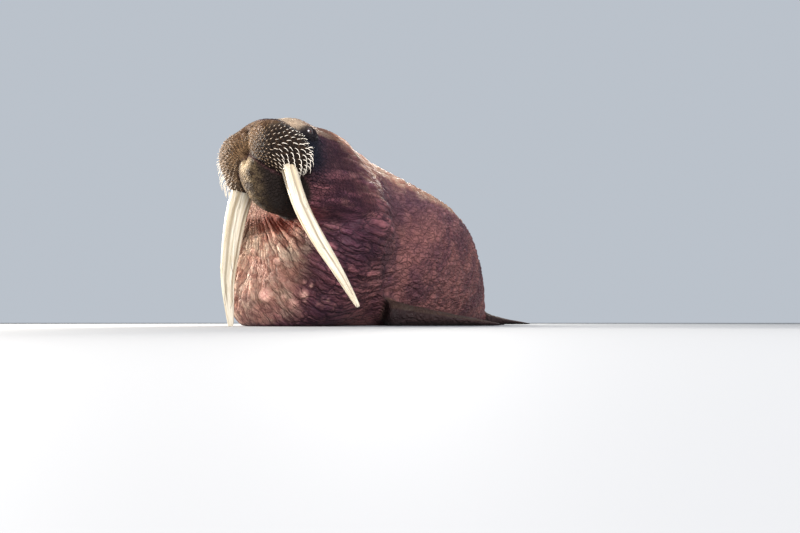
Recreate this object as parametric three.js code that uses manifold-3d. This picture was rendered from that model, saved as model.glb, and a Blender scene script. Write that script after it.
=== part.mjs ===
// A bull walrus at rest, life size, lying on its chest and belly with its head raised.
// Millimetres, +Z up, the floor at z = 0, the head towards -Y and the animal's left side towards +X.
// The origin is on the floor at the middle of the model's bounding box.
// The hide is one closed skin, lofted from the nose to the tail and parted into head, neck, chest,
// trunk, rump and tail. The neck bends to the animal's left and the head turns back to face forwards.
import * as THREE from "three";
import { mergeVertices } from "three/addons/utils/BufferGeometryUtils.js";
import Module from "manifold-3d";

const wasm = await Module();
wasm.setup();

const RAD = Math.PI / 180;
const UP = new THREE.Vector3(0, 0, 1);
const BACK = new THREE.Vector3(0, 1, 0);

// The gap that keeps touching pieces apart.
const GAP = 0.3;

// The pose of the head, whose muzzle has its middle this high, over y = 0 on the straight animal.
const MUZZLE_HEIGHT = 590;
const HEAD_PITCH = 8 * RAD;
const HEAD_TURN = -38 * RAD;
const HEAD_ROLL = -2 * RAD;
// The neck turns to the animal's left about an upright line at root, from back to front along the
// straight animal, and the head turns back about another at skull. Below the throat the chest
// follows only in part.
const NECK = {
  front: 230, skull: 270, behind: 430, root: 640, back: 1050, turn: 40 * RAD,
  throat: 380, breast: 90, follow: 0.5,
};

// The dewlap, an egg of loose skin, to the left of the middle because the neck is turned that way.
const DEWLAP = { x: 36, y: 376, z: 262, wide: 284, deep: 196, high: 328 };

// Pieces of the head, in the head's own frame:
// x to the animal's left, y backwards, z up, from the middle of the muzzle. A whisker pad is an egg
// with a jowl that hangs by the tusk, lower on the right, where left and right say how high its middle is.
// Both pads share a round mound under the nose.
const PAD = { x: 82, y: 6, z: -14, long: 110, deep: 92, high: 82, droop: 30 * RAD, sweep: 24 * RAD };
const MOUND = { y: -4, z: 20, radius: 78 };
const JOWL = { x: 114, y: 12, left: -56, right: -80, wide: 70, deep: 62, high: 56 };
const JAW = { y: 62, z: -124, wide: 90, deep: 138, high: 96, tilt: -13 * RAD };
const LIP = { y: -30, z: -84, wide: 58, deep: 54, high: 50 };
// broad and narrow are half widths of a tusk's oval section, broadway the way its broad side points, and
// left and right the lines of the two tusks from the root to the tip, with x away from the middle.
const TUSK = {
  broad: 41, narrow: 27, tip: 0.25, fade: 2.8, steps: 13, sides: 10, broadway: 45 * RAD,
  left: [[100, 20, 25], [105, 8, -62], [160, -10, -222], [226, -22, -335], [289, -22, -438], [340, -9, -548]],
  right: [[84, 30, 25], [94, 20, -62], [148, 8, -180], [187, 2, -300], [226, 6, -424], [255, 26, -590]],
};
const NOSTRIL = { x: 42, y: -6, z: 92, long: 21, wide: 5, deep: 16, slant: 38 * RAD };
const EYE = { x: 108, y: 120, z: 62, radius: 17 };
const LID = { out: 5, long: 38, high: 27, slit: 16, open: 7.5 };
const EAR = { x: 156, y: 236, z: 40, fold: 17, pit: 7 };

// Whiskers on each pad, from its top row to its bottom row and from the lip out to the cheek.
const WHISKER = {
  rows: 7, columns: 8, top: 44 * RAD, bottom: -58 * RAD, inner: -42 * RAD, outer: 88 * RAD,
  shortest: 14, longest: 88, root: 2.6, tip: 0.5, sunk: 10,
};

// The flippers lie on the floor. Their widths and thicknesses are halves, from root to tips.
const FORE = {
  root: [300, 770], height: 56, heading: 40 * RAD, length: 570,
  wide: [128, 130, 134, 138, 130, 100], thick: [72, 60, 45, 32, 23, 13], trail: 0.2, notch: 0.05,
};
const HIND = {
  root: [92, 2640], height: 48, heading: 75 * RAD, length: 560,
  wide: [84, 92, 118, 158, 196, 206], thick: [66, 54, 38, 27, 20, 10], trail: -0.02, notch: 0.1,
};
const DIGITS = 5;

// Colours from the photograph.
const SKIN = {
  hide: 0x8a5f55, pad: 0x4a3626, chin: 0x54402e, flipper: 0x4d4446, ivory: 0xf1e6cf, eye: 0x1c1310,
};

function material(color, roughness = 0.75) {
  return new THREE.MeshStandardMaterial({ color, roughness, metalness: 0 });
}

// Turns a point about an upright line behind the muzzle, or about a level line over its middle.
function turnAbout(point, axis, place, angle) {
  const centre = axis === "z" ? new THREE.Vector3(0, place, 0) : new THREE.Vector3(0, 0, place);
  const along = axis === "z" ? UP : BACK;
  point.sub(centre).applyAxisAngle(along, angle).add(centre);
}

// A point of the straight animal as the bent neck and the turned head hold it.
function posed(point) {
  const atHead = 1 - THREE.MathUtils.smoothstep(point.y, NECK.front, NECK.behind);
  const atNeck = 1 - THREE.MathUtils.smoothstep(point.y, NECK.front, NECK.back);
  const above = THREE.MathUtils.smoothstep(point.z, NECK.breast, NECK.throat);
  const result = point.clone();
  turnAbout(result, "y", MUZZLE_HEIGHT, HEAD_ROLL * atHead * above);
  turnAbout(result, "z", NECK.skull, HEAD_TURN * atHead * above);
  turnAbout(result, "z", NECK.root, NECK.turn * atNeck * THREE.MathUtils.lerp(NECK.follow, 1, above));
  return result;
}

// A place in the head's frame, as the straight animal holds it.
function fromHead(x, y, z) {
  return new THREE.Vector3(
    x,
    y * Math.cos(HEAD_PITCH) - z * Math.sin(HEAD_PITCH),
    MUZZLE_HEIGHT + y * Math.sin(HEAD_PITCH) + z * Math.cos(HEAD_PITCH),
  );
}

// The head's frame in the posed animal.
function headFrame() {
  const origin = posed(fromHead(0, 0, 0));
  const left = posed(fromHead(1, 0, 0)).sub(origin);
  const back = posed(fromHead(0, 1, 0)).sub(origin);
  const up = posed(fromHead(0, 0, 1)).sub(origin);
  return new THREE.Matrix4().makeBasis(left, back, up).setPosition(origin);
}

const HEAD = headFrame();

// A closed three.js geometry as a solid.
function solid(geometry, matrix = new THREE.Matrix4()) {
  const bare = geometry.clone().applyMatrix4(matrix);
  bare.deleteAttribute("normal");
  bare.deleteAttribute("uv");
  const merged = mergeVertices(bare, 1e-3);
  const triVerts = new Uint32Array(merged.index.array);
  if (matrix.determinant() < 0) {
    for (let i = 0; i < triVerts.length; i += 3) {
      [triVerts[i + 1], triVerts[i + 2]] = [triVerts[i + 2], triVerts[i + 1]];
    }
  }
  const vertProperties = new Float32Array(merged.attributes.position.array);
  return new wasm.Manifold(new wasm.Mesh({ numProp: 3, vertProperties, triVerts }));
}

// Keeps only the largest closed surface of a solid.
function largest(body) {
  const pieces = body.decompose();
  return pieces.reduce((best, piece) => (piece.volume() > best.volume() ? piece : best));
}

function union(bodies) {
  return bodies.reduce((sum, body) => sum.add(body));
}

function named(name, body, color, roughness) {
  const { vertProperties, triVerts, numProp } = largest(body).getMesh();
  const points = new Float32Array((vertProperties.length / numProp) * 3);
  for (let i = 0; i < points.length / 3; i++) {
    points.set(vertProperties.subarray(i * numProp, i * numProp + 3), i * 3);
  }
  const geometry = new THREE.BufferGeometry();
  geometry.setAttribute("position", new THREE.BufferAttribute(points, 3));
  geometry.setIndex(new THREE.BufferAttribute(new Uint32Array(triVerts), 1));
  geometry.computeVertexNormals();
  const mesh = new THREE.Mesh(geometry, material(color, roughness));
  mesh.name = name;
  return mesh;
}

// A closed skin over rings of points, each ring in the same order, with a fan at both ends.
function skinOver(rings) {
  const count = rings[0].length;
  const points = rings.flat();
  const faces = [];
  for (let i = 0; i + 1 < rings.length; i++) {
    for (let k = 0; k < count; k++) {
      const a = i * count + k;
      const b = i * count + ((k + 1) % count);
      faces.push(a, b, a + count, b, b + count, a + count);
    }
  }
  const middle = (ring) =>
    ring.reduce((sum, p) => sum.add(p), new THREE.Vector3()).divideScalar(count);
  const last = (rings.length - 1) * count;
  points.push(middle(rings[0]), middle(rings.at(-1)));
  for (let k = 0; k < count; k++) {
    const next = (k + 1) % count;
    faces.push(points.length - 2, next, k, points.length - 1, last + k, last + next);
  }
  const geometry = new THREE.BufferGeometry().setFromPoints(points);
  geometry.setIndex(faces);
  return geometry;
}

// An ellipsoid in a given frame. half holds its three half lengths.
function ellipsoid(place, half, turn = new THREE.Euler(), frame = new THREE.Matrix4(), fine = 16) {
  const matrix = new THREE.Matrix4().compose(
    new THREE.Vector3(...place),
    new THREE.Quaternion().setFromEuler(turn),
    new THREE.Vector3(...half),
  );
  return solid(new THREE.SphereGeometry(1, fine, Math.round(fine * 0.75)), frame.clone().multiply(matrix));
}

// A signed power, for rings squarer than an ellipse.
function swell(value, power) {
  return Math.sign(value) * Math.abs(value) ** power;
}

// Stations of the hide. top and under are places [y, z] on the line of the back and of the belly,
// half is half the width there, and low tells how far the widest level sinks under the middle.
const inHead = ([y, z]) => {
  const p = fromHead(0, y, z);
  return [p.y, p.z];
};
const STATIONS = [
  { at: "nose tip", top: inHead([-52, 44]), under: inHead([-56, 16]), half: 26, low: 0, square: 0.86 },
  { at: "nose", top: inHead([-38, 78]), under: inHead([-50, -22]), half: 56, low: -0.15, square: 0.86 },
  { at: "snout", top: inHead([-20, 96]), under: inHead([-30, -55]), half: 88, low: -0.1, square: 0.86 },
  { at: "bridge", top: inHead([50, 116]), under: inHead([45, -80]), half: 110, low: 0, square: 0.86 },
  { at: "eyes", top: inHead([130, 146]), under: inHead([105, -110]), half: 126, low: 0.08, square: 0.88 },
  { at: "crown", top: inHead([215, 146]), under: inHead([130, -160]), half: 126, low: 0.05, square: 0.92 },
  { at: "nape", top: [300, 796], under: [150, 395], half: 146, low: 0.02, square: 0.94 },
  { at: "neck", top: [430, 832], under: [155, 290], half: 212, low: 0.0, square: 0.91 },
  { at: "throat", top: [565, 866], under: [166, 178], half: 302, low: -0.05, square: 0.88 },
  { at: "collar", top: [700, 872], under: [194, 76], half: 360, low: -0.08, square: 0.89 },
  { at: "breast", top: [850, 866], under: [256, -6], half: 396, low: -0.08, square: 0.89 },
  { at: "brisket", top: [990, 836], under: [400, -36], half: 414, low: -0.16, square: 0.87 },
  { at: "shoulder", top: [1130, 804], under: [640, -36], half: 426, low: -0.24, square: 0.86 },
  { at: "chest", top: [1290, 794], under: [950, -38], half: 438, low: -0.28, square: 0.86 },
  { at: "belly", top: [1480, 770], under: [1300, -38], half: 436, low: -0.28, square: 0.86 },
  { at: "flank", top: [1700, 718], under: [1600, -35], half: 412, low: -0.24, square: 0.86 },
  { at: "loin", top: [1950, 632], under: [1880, -30], half: 360, low: -0.14, square: 0.86 },
  { at: "hip", top: [2200, 516], under: [2150, -25], half: 288, low: -0.08, square: 0.86 },
  { at: "rump", top: [2430, 384], under: [2400, -18], half: 208, low: 0, square: 0.86 },
  { at: "tail base", top: [2620, 256], under: [2600, -8], half: 142, low: 0.02, square: 0.86 },
  { at: "tail", top: [2750, 164], under: [2740, 20], half: 86, low: 0, square: 0.86 },
  { at: "tail tip", top: [2830, 108], under: [2826, 62], half: 34, low: 0, square: 0.86 },
];
const RINGS_PER_STATION = 3;
const AROUND = 36;

// Smooth lines through the stations: the back, the belly, and the width with its level and its form.
function through(places) {
  const points = places.map((place) => new THREE.Vector3(...place));
  return new THREE.CatmullRomCurve3(points, false, "catmullrom", 0.5);
}

const backLine = through(STATIONS.map((s) => [0, ...s.top]));
const bellyLine = through(STATIONS.map((s) => [0, ...s.under]));
const widthLine = through(STATIONS.map((s) => [s.half, 1000 * s.low, 1000 * s.square]));

// One ring of the hide at t, from 0 at the nose to 1 at the tail. grow moves it outwards.
function hideRing(t, grow) {
  const top = backLine.getPoint(t);
  const under = bellyLine.getPoint(t);
  const width = widthLine.getPoint(t);
  const middle = top.clone().add(under).multiplyScalar(0.5);
  const up = top.clone().sub(under).multiplyScalar(0.5);
  up.multiplyScalar(1 + grow / up.length());
  const ring = [];
  for (let k = 0; k < AROUND; k++) {
    const angle = (-2 * Math.PI * k) / AROUND;
    const rise = swell(Math.sin(angle), width.z / 1000);
    const level = rise - (width.y / 1000) * (1 - rise * rise);
    const point = middle.clone().addScaledVector(up, level);
    point.x = (width.x + grow) * swell(Math.cos(angle), width.z / 1000);
    ring.push(posed(point));
  }
  return ring;
}

// The hide is a skin over all rings, with the dewlap that fills the front of the breast below the throat.
function hide(grow = 0) {
  const count = (STATIONS.length - 1) * RINGS_PER_STATION;
  const rings = [];
  for (let i = 0; i <= count; i++) rings.push(hideRing(i / count, grow));
  const sag = [DEWLAP.wide + grow, DEWLAP.deep + grow, DEWLAP.high + grow];
  const place = [DEWLAP.x, DEWLAP.y, DEWLAP.z];
  return solid(skinOver(rings)).add(ellipsoid(place, sag, new THREE.Euler(), new THREE.Matrix4(), 14));
}

// All that lies above the floor, or on one side of a plane through the hide at t.
const HUGE = 9000;
const hugeBox = (matrix) => solid(new THREE.BoxGeometry(HUGE, HUGE, HUGE), matrix);

function aboveFloor() {
  return hugeBox(new THREE.Matrix4().makeTranslation(0, 0, HUGE / 2));
}

function behind(name, shift) {
  const index = STATIONS.findIndex((s) => s.at === name);
  const t = index / (STATIONS.length - 1);
  const top = backLine.getPoint(t);
  const under = bellyLine.getPoint(t);
  const middle = top.clone().add(under).multiplyScalar(0.5);
  const origin = posed(middle);
  const left = posed(middle.clone().add(new THREE.Vector3(1, 0, 0))).sub(origin).normalize();
  const upright = top.clone().sub(under).normalize();
  const up = posed(middle.clone().add(upright)).sub(origin).normalize();
  const back = new THREE.Vector3().crossVectors(up, left).normalize();
  const matrix = new THREE.Matrix4().makeBasis(left, back, up.clone().crossVectors(left, back));
  matrix.setPosition(origin.addScaledVector(back, HUGE / 2 + shift));
  return hugeBox(matrix);
}

// Parts the hide before and behind a plane at a station, with a gap between the two.
function part(body, name) {
  return [body.subtract(behind(name, -GAP / 2)), body.intersect(behind(name, GAP / 2))];
}

// A frame set in the head, turned there.
function inHeadFrame(x, y, z, turn = new THREE.Euler()) {
  const place = new THREE.Matrix4().makeRotationFromEuler(turn).setPosition(x, y, z);
  return HEAD.clone().multiply(place);
}

// A tube along a curve, thick where thickness(t) says, with closed ends.
function tube(curve, thickness, steps, sides) {
  const frames = curve.computeFrenetFrames(steps, false);
  const rings = [];
  for (let i = 0; i <= steps; i++) {
    const centre = curve.getPoint(i / steps);
    const ring = [];
    for (let k = 0; k < sides; k++) {
      const angle = (2 * Math.PI * k) / sides;
      const point = centre.clone();
      point.addScaledVector(frames.normals[i], thickness(i / steps) * Math.cos(angle));
      point.addScaledVector(frames.binormals[i], thickness(i / steps) * Math.sin(angle));
      ring.push(point);
    }
    rings.push(ring);
  }
  return skinOver(rings);
}

// The frame of one whisker pad, which droops and sweeps back at the cheek.
function padFrame(side) {
  const turn = new THREE.Euler(0, side * PAD.droop, side * PAD.sweep, "ZYX");
  return inHeadFrame(side * PAD.x, PAD.y, PAD.z, turn);
}

// One whisker pad without its whiskers.
function barePad(side, grow = 0) {
  const half = [PAD.long + grow, PAD.deep + grow, PAD.high + grow];
  const egg = ellipsoid([0, 0, 0], half, new THREE.Euler(), padFrame(side), 16);
  const round = Array(3).fill(MOUND.radius + grow);
  const mound = ellipsoid([0, MOUND.y, MOUND.z], round, new THREE.Euler(), HEAD, 12);
  const low = [JOWL.wide + grow, JOWL.deep + grow, JOWL.high + grow];
  const swept = new THREE.Euler(0, 0, side * PAD.sweep);
  const hang = side > 0 ? JOWL.left : JOWL.right;
  const jowl = ellipsoid([side * JOWL.x, JOWL.y, hang], low, swept, HEAD, 12);
  return egg.add(mound).add(jowl);
}

// One whisker: it leaves the pad squarely and bends down and back, longest low on the cheek.
function whisker(side, row, column) {
  const level = row / (WHISKER.rows - 1);
  const across = (column + (row % 2) * 0.5) / (WHISKER.columns - 0.5);
  const rise = THREE.MathUtils.lerp(WHISKER.top, WHISKER.bottom, level);
  const turn = THREE.MathUtils.lerp(WHISKER.inner, WHISKER.outer, across);
  const out = new THREE.Vector3(
    side * Math.sin(turn) * Math.cos(rise),
    -Math.cos(turn) * Math.cos(rise),
    Math.sin(rise),
  );
  const root = out.clone().multiply(new THREE.Vector3(PAD.long, PAD.deep, PAD.high));
  const share = THREE.MathUtils.smoothstep(0.4 * level + 0.8 * across, 0.6, 1.15);
  const length = THREE.MathUtils.lerp(WHISKER.shortest, WHISKER.longest, share);
  const lie = new THREE.Vector3(side * 0.35, 0.25, -1).normalize();
  const curve = new THREE.QuadraticBezierCurve3(
    root.clone().addScaledVector(out, -WHISKER.sunk),
    root.clone().addScaledVector(out, 0.55 * length),
    root.clone().addScaledVector(out, 0.55 * length).addScaledVector(lie, 0.62 * length),
  );
  const thickness = (t) => THREE.MathUtils.lerp(WHISKER.root, WHISKER.tip, t);
  return solid(tube(curve, thickness, 3, 3), padFrame(side));
}

function whiskers(side) {
  const all = [];
  for (let row = 0; row < WHISKER.rows; row++) {
    for (let column = 0; column < WHISKER.columns; column++) all.push(whisker(side, row, column));
  }
  return all;
}

// A tusk, rooted in the upper jaw, spreading downwards and curving back at the tip. Its section is a flat
// oval with the broad way pointing forwards and outwards. The left one spreads more than the right.
function tusk(side, grow = 0) {
  const places = side > 0 ? TUSK.left : TUSK.right;
  const curve = new THREE.CatmullRomCurve3(places.map(([x, y, z]) => new THREE.Vector3(side * x, y, z)));
  const forwardOut = new THREE.Vector3(side * Math.sin(TUSK.broadway), -Math.cos(TUSK.broadway), 0);
  const rings = [];
  for (let i = 0; i <= TUSK.steps; i++) {
    const t = i / TUSK.steps;
    const taper = 1 - t ** TUSK.fade * (1 - TUSK.tip);
    const centre = curve.getPoint(t);
    const along = curve.getTangent(t);
    const broad = forwardOut.clone().addScaledVector(along, -forwardOut.dot(along)).normalize();
    const narrow = along.clone().cross(broad);
    const ring = [];
    for (let k = 0; k < TUSK.sides; k++) {
      const angle = (2 * Math.PI * k) / TUSK.sides;
      const point = centre.clone();
      point.addScaledVector(broad, (grow + TUSK.broad * taper) * Math.cos(angle));
      point.addScaledVector(narrow, (grow + TUSK.narrow * taper) * Math.sin(angle));
      ring.push(point);
    }
    rings.push(ring);
  }
  return solid(skinOver(rings), HEAD);
}

// The lower jaw with the roll of its lip.
function jaw(grow = 0) {
  const chin = ellipsoid(
    [0, JAW.y, JAW.z],
    [JAW.wide + grow, JAW.deep + grow, JAW.high + grow],
    new THREE.Euler(JAW.tilt, 0, 0),
    HEAD,
    18,
  );
  const rolled = [LIP.wide + grow, LIP.deep + grow, LIP.high + grow];
  return chin.add(ellipsoid([0, LIP.y, LIP.z], rolled, new THREE.Euler(), HEAD, 10));
}

function eyeball(side, grow = 0) {
  const r = EYE.radius + grow;
  return ellipsoid([side * EYE.x, EYE.y, EYE.z], [r, r, r], new THREE.Euler(), HEAD, 10);
}

// The lids: a mound over the eyeball, open in a slit.
function lids(side) {
  const reach = EYE.radius + LID.out;
  const out = new THREE.Vector3(side, -0.55, 0.12).normalize();
  const place = [side * EYE.x, EYE.y, EYE.z];
  const turn = new THREE.Euler(0, 0, side * -0.45);
  const mound = ellipsoid(place, [reach, LID.long, LID.high], turn, HEAD, 12);
  const opening = place.map((v, i) => v + reach * out.getComponent(i));
  const slit = ellipsoid(opening, [reach, LID.slit, LID.open], turn, HEAD, 10);
  return { mound, slit };
}

// A nostril: a slit that opens upwards and forwards.
function nostril(side) {
  const turn = new THREE.Euler(0.5, side * NOSTRIL.slant, 0);
  const place = [side * NOSTRIL.x, NOSTRIL.y, NOSTRIL.z];
  return ellipsoid(place, [NOSTRIL.wide, NOSTRIL.deep, NOSTRIL.long], turn, HEAD, 8);
}

// An ear is a small pit behind a low fold of skin.
function earFold(side) {
  const place = [side * (EAR.x - 4), EAR.y - 8, EAR.z];
  return ellipsoid(place, [10, EAR.fold * 0.6, EAR.fold], new THREE.Euler(0.3, 0, 0), HEAD, 8);
}

function earPit(side) {
  const place = [side * (EAR.x + 5), EAR.y + 6, EAR.z];
  return ellipsoid(place, [14, EAR.pit, EAR.pit * 1.5], new THREE.Euler(0.3, 0, 0), HEAD, 8);
}

// A value from a short list of equally spaced ones, on a smooth line through them.
function along(list, t) {
  const points = list.map((value) => new THREE.Vector3(value, 0, 0));
  return new THREE.CatmullRomCurve3(points, false, "catmullrom", 0.5).getPoint(t).x;
}

// A flipper lying flat, with a ridge along each digit and a notch between the tips of two digits.
function flipper(side, sizes, steps = 8, around = 30) {
  const outward = new THREE.Vector3(side * Math.cos(sizes.heading), Math.sin(sizes.heading), 0);
  const across = new THREE.Vector3(-side * Math.sin(sizes.heading), Math.cos(sizes.heading), 0);
  const root = new THREE.Vector3(side * sizes.root[0], sizes.root[1], 0);
  const rings = [];
  for (let i = 0; i <= steps; i++) {
    const t = i / steps;
    const ring = [];
    for (let k = 0; k < around; k++) {
      const angle = (side * 2 * Math.PI * k) / around;
      const over = Math.cos(angle);
      const ridge = Math.abs(Math.cos((DIGITS * Math.PI * (over + 1)) / 2 + Math.PI / 2));
      const reach = 1 - sizes.trail * t * (over + 1) - sizes.notch * t ** 3 * (1 - ridge);
      const lift = Math.sin(angle) * along(sizes.thick, t) * (1 - 0.3 * t * (1 - ridge));
      const point = root.clone().addScaledVector(outward, sizes.length * t * reach);
      point.addScaledVector(across, along(sizes.wide, t) * over);
      point.z = sizes.height * (1 - t) + along(sizes.thick, 1) * t * 0.6 + lift;
      ring.push(point);
    }
    rings.push(ring);
  }
  return solid(skinOver(rings));
}

const SIDES = { left: 1, right: -1 };
const both = (make) => union(Object.values(SIDES).map(make));
const aboveZero = aboveFloor();
const whole = hide().intersect(aboveZero);
const [face, behindFace] = part(whole, "crown");
const [neck, behindNeck] = part(behindFace, "breast");
const [chest, behindChest] = part(behindNeck, "chest");
const [trunk, behindTrunk] = part(behindChest, "loin");
const [rump, tail] = part(behindTrunk, "tail base");

const tuskRoom = both((side) => tusk(side, GAP));
const padRoom = both((side) => barePad(side, GAP));
const jawRoom = jaw(GAP);
const hideRoom = hide(GAP);

function head() {
  let skull = face;
  for (const side of Object.values(SIDES)) {
    const lid = lids(side);
    skull = skull.add(lid.mound).subtract(lid.slit).subtract(eyeball(side, GAP));
    skull = skull.add(earFold(side)).subtract(earPit(side)).subtract(nostril(side));
  }
  return skull.subtract(padRoom).subtract(jawRoom).subtract(tuskRoom);
}

// The pads meet at the middle of the lip.
function pad(side) {
  const halfSpace = inHeadFrame(side * (HUGE / 2 + GAP / 2), 0, 0);
  const ownSide = hugeBox(halfSpace);
  const flesh = barePad(side).intersect(ownSide);
  const clear = union(whiskers(side)).intersect(ownSide).subtract(hideRoom).subtract(jawRoom);
  return flesh.subtract(nostril(side)).add(clear).subtract(tuskRoom);
}

const walrus = new THREE.Group();
walrus.add(named("head", head(), SKIN.hide));
walrus.add(named("lower_jaw", jaw().subtract(padRoom).subtract(tuskRoom).subtract(neck), SKIN.chin));
walrus.add(named("neck", neck.subtract(jawRoom).subtract(padRoom), SKIN.hide));
walrus.add(named("chest", chest, SKIN.hide));
walrus.add(named("trunk", trunk, SKIN.hide));
walrus.add(named("rump", rump, SKIN.hide));
walrus.add(named("tail", tail, SKIN.hide));
for (const [name, side] of Object.entries(SIDES)) {
  walrus.add(named("whisker_pad_" + name, pad(side), SKIN.pad));
  walrus.add(named("tusk_" + name, tusk(side).intersect(aboveZero), SKIN.ivory, 0.35));
  walrus.add(named("eye_" + name, eyeball(side), SKIN.eye, 0.1));
  const fore = flipper(side, FORE).intersect(aboveZero);
  const hind = flipper(side, HIND).intersect(aboveZero);
  walrus.add(named("fore_flipper_" + name, fore.subtract(hideRoom), SKIN.flipper));
  walrus.add(named("hind_flipper_" + name, hind.subtract(hideRoom), SKIN.flipper));
}

// The origin goes to the floor, under the middle of the whole animal.
const extent = new THREE.Box3().setFromObject(walrus);
const middle = extent.getCenter(new THREE.Vector3());
for (const piece of walrus.children) {
  piece.geometry.translate(-middle.x, -middle.y, -extent.min.z);
}

export default walrus;
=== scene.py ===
"""An adult male walrus resting on its belly, life size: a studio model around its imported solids."""

import math

import bmesh
import bpy
import numpy as np
from mathutils import Matrix, Vector, noise
from mathutils.bvhtree import BVHTree
from mathutils.kdtree import KDTree


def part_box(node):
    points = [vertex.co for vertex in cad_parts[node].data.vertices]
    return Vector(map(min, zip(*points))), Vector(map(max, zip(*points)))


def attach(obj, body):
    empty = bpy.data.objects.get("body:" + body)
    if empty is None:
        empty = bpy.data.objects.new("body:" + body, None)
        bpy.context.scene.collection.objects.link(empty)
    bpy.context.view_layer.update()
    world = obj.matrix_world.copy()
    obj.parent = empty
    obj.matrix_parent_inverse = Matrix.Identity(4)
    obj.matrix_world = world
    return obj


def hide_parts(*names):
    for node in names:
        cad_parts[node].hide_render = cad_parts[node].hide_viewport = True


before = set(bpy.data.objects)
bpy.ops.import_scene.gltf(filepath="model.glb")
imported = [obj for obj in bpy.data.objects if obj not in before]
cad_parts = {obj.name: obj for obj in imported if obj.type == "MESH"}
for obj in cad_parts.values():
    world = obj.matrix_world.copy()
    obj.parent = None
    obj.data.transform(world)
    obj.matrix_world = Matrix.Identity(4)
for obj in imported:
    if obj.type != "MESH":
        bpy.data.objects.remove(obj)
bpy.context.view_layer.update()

# The head
# Everything on the head is placed from the middle of the muzzle, X to the animal's left, Y backwards
# and Z up through the crown. The two eyes of the frame say where that middle is.
EYE = Vector((0.108, 0.120, 0.062))
HEAD_TURN = math.radians(2)
HEAD_ROLL = math.radians(-2)
HEAD_PITCH = math.radians(8)
SIDES = {"left": 1, "right": -1}

head_turned = (
    Matrix.Rotation(HEAD_TURN, 4, "Z")
    @ Matrix.Rotation(HEAD_ROLL, 4, "Y")
    @ Matrix.Rotation(HEAD_PITCH, 4, "X")
)


def box_middle(node):
    low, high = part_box(node)
    return (Vector(low) + Vector(high)) / 2


between_eyes = (box_middle("eye_left") + box_middle("eye_right")) / 2
muzzle_middle = between_eyes - head_turned.to_3x3() @ Vector((0, EYE.y, EYE.z))
head = Matrix.Translation(muzzle_middle) @ head_turned

# The hide
# One thick, nearly bare skin over the whole animal, creased all over, with two fat whisker pads,
# slit nostrils, small lids and the knobs of an old male. Made from merged copies of the flesh nodes.
FLESH = ["head", "lower_jaw", "neck", "chest", "trunk", "rump", "tail"]
FLIPPERS = ["fore_flipper_left", "fore_flipper_right", "hind_flipper_left", "hind_flipper_right"]
PAD_PLACE = Vector((0.082, 0.006, -0.014))
PAD_HALF = Vector((0.110, 0.092, 0.082))
PAD_DROOP = math.radians(30)
PAD_SWEEP = math.radians(24)
MOUND_PLACE = Vector((0, 0.014, 0.016))
MOUND_RADIUS = 0.078
JOWL_PLACE = Vector((0.114, 0.012, 0))
JOWL_HANG = {1: -0.056, -1: -0.080}
JOWL_HALF = Vector((0.070, 0.062, 0.056))
HIDE_GROWN = 0.002
HIDE_INSET = 0.0045
HIDE_GRID = 0.0105
HIDE_SMOOTHINGS = 13
HIDE_KEPT = 0.335


def pad_frame(side):
    """The frame of one whisker pad, which droops and sweeps back at the cheek."""
    place = Matrix.Translation((side * PAD_PLACE.x, PAD_PLACE.y, PAD_PLACE.z))
    turned = Matrix.Rotation(side * PAD_SWEEP, 4, "Z") @ Matrix.Rotation(side * PAD_DROOP, 4, "Y")
    return head @ place @ turned


def pad_eggs(side):
    """The three fat forms that make one whisker pad: the egg, the shared mound and the jowl."""
    jowl_place = Matrix.Translation((side * JOWL_PLACE.x, JOWL_PLACE.y, JOWL_HANG[side]))
    jowl = head @ jowl_place @ Matrix.Rotation(side * PAD_SWEEP, 4, "Z")
    mound = head @ Matrix.Translation(MOUND_PLACE)
    return [
        pad_frame(side) @ Matrix.Diagonal((*PAD_HALF, 1)),
        mound @ Matrix.Diagonal((MOUND_RADIUS, MOUND_RADIUS, MOUND_RADIUS, 1)),
        jowl @ Matrix.Diagonal((*JOWL_HALF, 1)),
    ]


def add_merged_copy(shell, node, grown):
    """Adds a merged copy of a frame node, a little fatter so that it grows into its neighbours."""
    piece = bmesh.new()
    piece.from_mesh(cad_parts[node].data)
    bmesh.ops.remove_doubles(piece, verts=piece.verts, dist=1e-5)
    piece.normal_update()
    for vertex in piece.verts:
        vertex.co += grown * vertex.normal
    joined = bpy.data.meshes.new(node + "_copy")
    piece.to_mesh(joined)
    piece.free()
    shell.from_mesh(joined)
    bpy.data.meshes.remove(joined)


def new_piece(name, form):
    """An object made of a bmesh, which is used up."""
    mesh = bpy.data.meshes.new(name)
    form.to_mesh(mesh)
    form.free()
    mesh.shade_smooth()
    piece = bpy.data.objects.new(name, mesh)
    bpy.context.collection.objects.link(piece)
    return piece


def applied(piece):
    """The mesh that a piece's modifiers make. They are taken off the piece afterwards."""
    shaped = piece.evaluated_get(bpy.context.evaluated_depsgraph_get())
    mesh = bpy.data.meshes.new_from_object(shaped)
    piece.modifiers.clear()
    return mesh


def smooth(form, verts, times):
    """Takes the steps and facets off a part of a mesh."""
    for _ in range(times):
        bmesh.ops.smooth_vert(
            form, verts=verts, factor=0.5, use_axis_x=True, use_axis_y=True, use_axis_z=True
        )


rough_hide = bmesh.new()
for node in FLESH + FLIPPERS:
    add_merged_copy(rough_hide, node, HIDE_GROWN)
for side in SIDES.values():
    for egg in pad_eggs(side):
        bmesh.ops.create_icosphere(rough_hide, subdivisions=4, radius=1, matrix=egg)
hide = new_piece("hide", rough_hide)
closing = hide.modifiers.new("one skin", "REMESH")
closing.mode = "VOXEL"
closing.voxel_size = HIDE_GRID
one_skin = applied(hide)

form = bmesh.new()
form.from_mesh(one_skin)
bpy.data.meshes.remove(one_skin)
smooth(form, form.verts, HIDE_SMOOTHINGS)

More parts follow.
